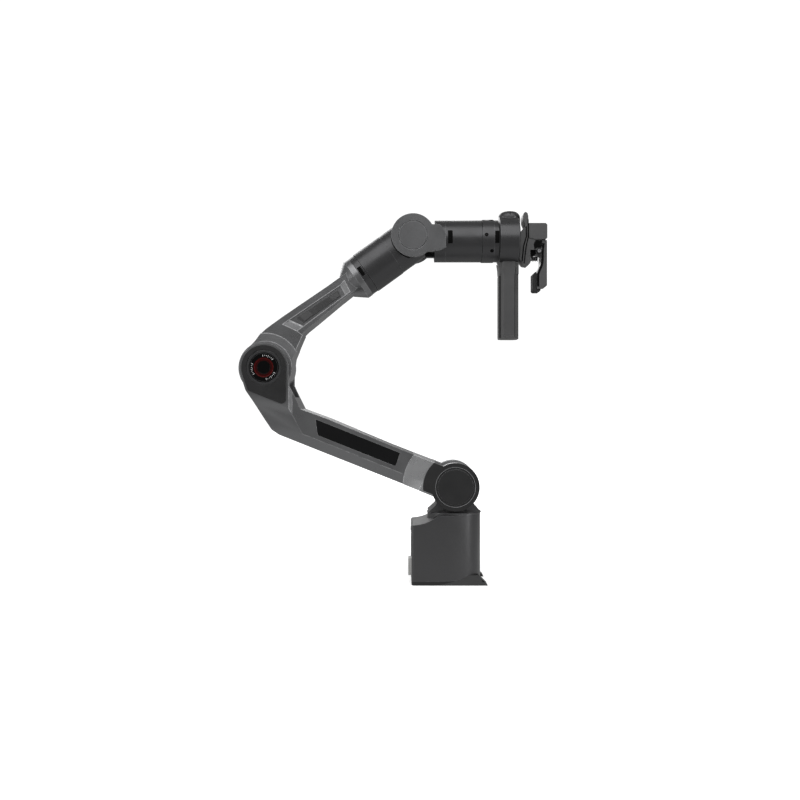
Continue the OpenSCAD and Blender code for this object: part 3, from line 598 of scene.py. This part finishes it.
def add_patch(bm, matrix, radii, reach, angles, steps=16):
    """A curved plate about the tool axis. Angles are from straight up, in degrees towards one side."""
    loops = []
    for i in range(steps + 1):
        a = math.radians(angles[0] + (angles[1] - angles[0]) * i / steps)
        loops.append([(w, r * math.sin(a), r * math.cos(a))
                      for w, r in ((reach[0], radii[0]), (reach[1], radii[0]),
                                   (reach[1], radii[1]), (reach[0], radii[1]))])
    add_loft(bm, matrix, loops)


def wrist_windows():
    """Black sensor windows let into the wrist housing and the handle's neck."""
    housing, neck = bmesh.new(), bmesh.new()
    for side in SIDES.values():
        add_patch(housing, TOOL, (26.0, 27.08), (42.4, 48.3), (side * 69.0, side * 105))
        add_patch(neck, TOOL, (26.8, 27.12), (102.3, 107.4), (side * 70, side * 104))
    piece("housing_windows", housing, "wrist", PAINTED_SHADE_AND_BLACK)
    piece("neck_windows", neck, "handle", PAINTED_SHADE_AND_BLACK)


def screw_sockets():
    """Dark hexagon sockets in the radial flange screws, each in a dark seat: painted shade in the screw holes."""
    sockets = bmesh.new()
    head = FLANGE_R - SCREW_DEPTH
    for along, angle in FLANGE_SCREWS:
        for side in SIDES.values():
            turn = Matrix.Rotation(math.radians(-side * angle), 4, "X") @ Matrix.Rotation(math.pi / 2, 4, "X")
            seat = TOOL @ Matrix.Translation((FLANGE_START + along, 0, 0)) @ turn
            add_prism(sockets, seat, circle_points(1.05, steps=6), head - 0.2, head + 0.06)
            add_ring(sockets, seat, 1.1, 2.35, head + 0.4, head + 1.05, steps=32)
    piece("flange_screw_sockets", sockets, "handle", PAINTED_SHADE_AND_BLACK)


def dome_slits():
    """Small index slit on each side of the button's dome."""
    outline = [(122.6, 32.0), (123.4, 32.0), (123.4, 35.2), (122.6, 35.2)]
    slits = bmesh.new()
    for side in SIDES.values():
        add_prism(slits, TOOL, outline, *layer(side, 14.1, 1.5, 0))
    piece("dome_slits", slits, "handle", PAINTED_SHADE_AND_BLACK)


def grip_lines():
    """Dark strip down each rear corner of the grip, painted shade on its rear bevel, and a groove down each side
    of its front edge, in painted shade.
    """
    top, bottom = -46.0, -126.0
    face = half_width("grip_left")
    plan = [(109.4, 8.6), (109.0, 8.8), (109.15, 9.3), (111.1, 11.26), (111.3, 11.0)]
    groove = [(130.6, -36), (128.9, -45), (128.9, bottom)]
    strips, grooves = bmesh.new(), bmesh.new()
    for side in SIDES.values():
        add_loft(strips, TOOL, [[(w, side * y, z) for w, y in plan] for z in (top, bottom)])
        add_strip(grooves, TOOL, groove, 0.6, *layer(side, face, 0.4, 0.05))
    # The rear strips paint shade on the grip's rear bevel.
    piece("grip_strips", strips, "handle", FINISHES["pad_rubber"], 0.1)
    piece("grip_grooves", grooves, "handle", PAINTED_SHADE_AND_BLACK)


def trigger_lines():
    """Slanted shadow joints across the trigger housing, and the hinge's seat in painted shade and its bright head.
    """
    face, head = half_width("trigger_housing"), half_width("trigger_pin")
    rear_joint = [(143.6, 17.5), (144.0, 4.5), (140.3, -8.4), (138.4, -28.0)]
    front_joint = [(146.2, 26.0), (146.3, 3.2), (143.6, -8.4), (141.0, -30.4)]
    gaps, seats, heads = bmesh.new(), bmesh.new(), bmesh.new()
    for side in SIDES.values():
        add_strip(gaps, TOOL, rear_joint, 1.7, *layer(side, face, 0.3, 0.08))
        add_strip(gaps, TOOL, front_joint, 1.5, *layer(side, face, 0.3, 0.08))
        add_ring(seats, TOOL, 2.95, 3.55, *layer(side, face, 0.2, 0.1), centre=HINGE, steps=48)
        add_ring(heads, TOOL, 0.9, 1.9, *layer(side, head, 0.1, 0.05), centre=HINGE, steps=48)
    piece("trigger_joints", gaps, "handle", PAINTED_SHADE_AND_BLACK)
    piece("hinge_seats", seats, "handle", PAINTED_SHADE_AND_BLACK)
    piece("hinge_heads", heads, "handle", FINISHES["bare_steel"])


def trigger_shades():
    """Painted shade in the hollow beside the hinge and on the inner flank of the lever."""
    face, lever = half_width("trigger_housing"), half_width("trigger_lever")
    hollow = [(155.6, -0.4), (163.5, -0.4), (163.5, -10.6), (157.6, -10.6), (154.2, -12.8), (153.2, -6)]
    flank = [(166.3, -4.0), (165.2, -13), (164.9, -27.5), (163.6, -33.5), (160.7, -40), (159.3, -44.5),
             (159.3, -60)]
    hollows, flanks = bmesh.new(), bmesh.new()
    for side in SIDES.values():
        add_prism(hollows, TOOL, hollow, *layer(side, face, 0.2, 0.07))
        add_strip(flanks, TOOL, flank, 3.0, *layer(side, lever, 0.2, 0.06))
    piece("trigger_hollows", hollows, "handle", PAINTED_SHADE_AND_BLACK)
    piece("lever_flanks", flanks, "trigger", PAINTED_SHADE_AND_BLACK)


def spring_guide():
    """Rod inside the trigger's spring, and the block that fills the housing's corner above it."""
    along_tool = TOOL @ Matrix.Translation((0, 0, SPRING_AWAY)) @ Matrix.Rotation(-math.pi / 2, 4, "Z")
    block = [(148.8, -18.6), (155.9, -18.6), (155.9, -12.8), (148.8, -12.8)]
    guide = bmesh.new()
    add_prism(guide, along_tool, circle_points(2.4, steps=32), 148.6, 160.3)
    add_prism(guide, TOOL, block, -9.6, 9.6)
    piece("spring_guide", guide, "handle", PAINTED_SHADE_AND_BLACK, 0.2)


# ---- Base details ----

def facing_back(y, z):
    """A frame whose Y runs forwards along the base, through a point of its rear face."""
    return BASE @ Matrix.Translation((0, y, z)) @ Matrix.Rotation(-math.pi / 2, 4, "Z")


def power_contacts():
    """Round pins inside the two holes of the power socket."""
    place, mouth = centre("power_socket"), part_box("power_socket")[0].x / MM
    pins = bmesh.new()
    for up in (-5, 5):
        at = facing_back(place.y, place.z + up)
        add_prism(pins, at, circle_points(1.1, steps=24), mouth + 1.5, mouth + 13)
    piece("power_pins", pins, "base", FINISHES["bare_steel"], 0.2)


def data_contacts():
    """Insert of the round data socket, with a ring of five contacts."""
    place, mouth = centre("data_socket"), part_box("data_socket")[0].x / MM
    at = facing_back(place.y, place.z)
    insert, contacts = bmesh.new(), bmesh.new()
    add_prism(insert, at, circle_points(5.5, steps=40), mouth + 3.2, mouth + 9)
    for spot in circle_points(3.2, steps=5, start=math.pi / 2, end=math.pi / 2 + math.tau):
        add_prism(contacts, at, circle_points(0.45, spot, 16), mouth + 1.4, mouth + 3.4)
    piece("data_insert", insert, "base", FINISHES["black_plastic"], 0.3)
    piece("data_contacts", contacts, "base", FINISHES["bare_steel"])


def panel_screw_sockets():
    """Hexagon sockets in the four screws of the rear panel."""
    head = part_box("base_screws")[0].x / MM
    sockets = bmesh.new()
    for y in (-26, 26):
        for z in (11, 63):
            add_prism(sockets, facing_back(y, z), circle_points(1.35, steps=6), head - 0.03, head + 0.5)
    piece("panel_screw_sockets", sockets, "base", PAINTED_SHADE_AND_BLACK)


# ---- Stage, lights and camera ----

def mesh_object(name, bm, material):
    mesh = bpy.data.meshes.new(name)
    bm.to_mesh(mesh)
    bm.free()
    mesh.materials.append(material)
    obj = bpy.data.objects.new(name, mesh)
    bpy.context.scene.collection.objects.link(obj)
    return obj


def floor_finish():
    """Pale matt floor with a painted glow that rises with distance, weakest round the arm, so it fades into the
    white surround.
    """
    s = Shader("floor_pale_painted_glow", (0.9, 0.9, 0.9), 0.0, 0.55, 0.2)
    s.link(s.mixed(s.spread(s.noise(2.0, 2), 0, 1), (0.89, 0.89, 0.89), (0.91, 0.91, 0.91)),
           s.bsdf.inputs["Base Color"])
    far = s.tree.nodes.new("ShaderNodeVectorMath")
    far.operation = "LENGTH"
    s.link(s.place, far.inputs[0])
    # Painted light: the glow runs from 0.45 near the middle to 1.1 far off.
    s.link(s.spread(far.outputs["Value"], 0.45, 1.1, 0.1, 0.75), s.bsdf.inputs["Emission Strength"])
    s.set("Emission Color", (1, 1, 1, 1))
    return s.material


def glowing(name, strength):
    material = bpy.data.materials.new(name)
    material.use_nodes = True
    tree = material.node_tree
    tree.nodes.remove(tree.nodes["Principled BSDF"])
    glow = tree.nodes.new("ShaderNodeEmission")
    glow.inputs["Strength"].default_value = strength
    tree.links.new(glow.outputs[0], tree.nodes["Material Output"].inputs["Surface"])
    return material


def studio():
    """A pale floor and a white surround that only the camera sees, and a card that lights from below."""
    low, high = cad_box
    surround_r = 6.0
    disc = bmesh.new()
    bmesh.ops.create_circle(disc, cap_ends=True, segments=128, radius=surround_r - 0.01)
    floor = mesh_object("floor", disc, floor_finish())
    floor.location = ((low.x + high.x) / 2, 0, low.z)
    floor.visible_diffuse = False
    floor.visible_glossy = False
    ball = bmesh.new()
    bmesh.ops.create_uvsphere(ball, u_segments=64, v_segments=32, radius=surround_r)
    surround = mesh_object("surround", ball, glowing("surround_white", 1.1))
    for ray in ("diffuse", "glossy", "transmission", "volume_scatter", "shadow"):
        setattr(surround, "visible_" + ray, False)
    card_mesh = bmesh.new()
    bmesh.ops.create_grid(card_mesh, x_segments=1, y_segments=1, size=0.5)
    card = mesh_object("bounce_card", card_mesh, glowing("bounce_glow", 0.55))
    card.location = ((low.x + high.x) / 2, -0.1, low.z - 0.01)
    card.scale = (1.4, 1.0, 1)
    card.visible_camera = False
    card.visible_shadow = False


def area_light(name, place, target, size, power):
    data = bpy.data.lights.new(name, "AREA")
    data.shape = "RECTANGLE"
    data.size, data.size_y = size
    data.energy = power
    light = bpy.data.objects.new(name, data)
    light.location = place
    light.rotation_euler = (Vector(target) - Vector(place)).to_track_quat("-Z", "Y").to_euler()
    light.visible_camera = False
    bpy.context.scene.collection.objects.link(light)


def lights():
    """Broad softboxes high in front and behind, a dim room, and tall strips for the edge highlights."""
    low, high = cad_box
    middle = (low + high) / 2
    aim = (middle.x, 0, middle.z)
    world = bpy.data.worlds.new("soft_room")
    world.use_nodes = True
    world.node_tree.nodes["Background"].inputs["Color"].default_value = (0.30, 0.30, 0.30, 1)
    bpy.context.scene.world = world
    area_light("front_softbox", (middle.x, -1.05, middle.z + 1.25), aim, (2.6, 1.5), 22)
    area_light("left_strip", (middle.x - 1.5, -0.6, middle.z + 0.2), aim, (0.3, 1.2), 6)
    area_light("right_strip", (middle.x + 1.5, -0.8, middle.z + 0.2), aim, (0.3, 1.2), 6)
    area_light("rear_softbox", (middle.x - 0.5, 1.5, middle.z + 1.0), aim, (1.6, 1.0), 14)


def camera():
    """Level view along +Y, from the photograph's distance and height."""
    data = bpy.data.cameras.new("camera")
    data.sensor_width = 36.0
    distance, view_width = 1.15, 1.04
    data.lens = data.sensor_width * distance / view_width
    obj = bpy.data.objects.new("camera", data)
    obj.location = (-0.070, -distance, 0.233)
    obj.rotation_euler = (math.pi / 2, 0, 0)
    bpy.context.scene.collection.objects.link(obj)
    bpy.context.scene.camera = obj


dress_cad_nodes()
elbow_dials()
shoulder_rings()
panel_surrounds()
forearm_lines()
channel_ramps()
ring_slot()
inlay_pads()
wrist_windows()
screw_sockets()
dome_slits()
grip_lines()
trigger_lines()
trigger_shades()
spring_guide()
power_contacts()
data_contacts()
panel_screw_sockets()
studio()
lights()
camera()
bpy.context.scene.view_settings.view_transform = "Standard"
